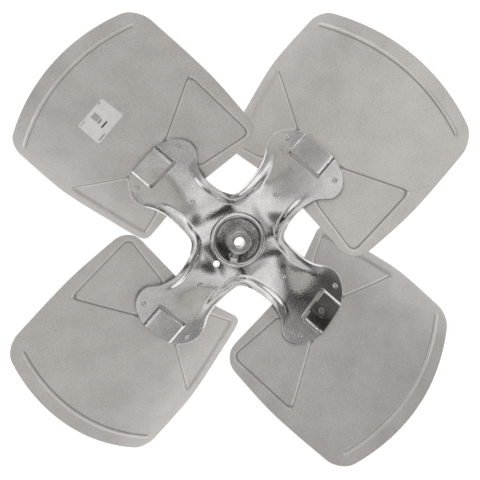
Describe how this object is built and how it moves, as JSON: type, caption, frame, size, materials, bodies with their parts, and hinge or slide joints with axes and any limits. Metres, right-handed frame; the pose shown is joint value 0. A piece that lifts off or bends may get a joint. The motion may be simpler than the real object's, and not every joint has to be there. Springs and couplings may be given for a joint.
{
  "type": "axial fan propeller",
  "caption": "Pitched sheet-metal propeller: dished blades riveted behind a pressed steel spider with a short set-screw hub.",
  "frame": {"origin": "on the fan axis, at the height of the four low blade corners", "axes": "+Z along the fan axis towards the spider and barrel side; the four arms lie on the diagonals of X and Y"},
  "size_m": [0.5598, 0.5598, 0.1371],
  "materials": {
    "blade": "matt mill finish",
    "spider": "galvanised",
    "rivet": "zinc plated",
    "hub": "turned and plated",
    "clip": "dark spring steel"
  },
  "bodies": {
    "root": {"spider": "spider", "hub_barrel": "hub", "set_screw": "hub", "blade_1": "blade", "blade_2": "blade", "blade_3": "blade", "blade_4": "blade", "rivet_1a": "rivet", "rivet_1b": "rivet", "rivet_1c": "rivet", "rivet_2a": "rivet", "rivet_2b": "rivet", "rivet_2c": "rivet", "rivet_3a": "rivet", "rivet_3b": "rivet", "rivet_3c": "rivet", "rivet_4a": "rivet", "rivet_4b": "rivet", "rivet_4c": "rivet", "balance_rivet": "clip", "balance_clip": "clip"}
  },
  "joints": []
}
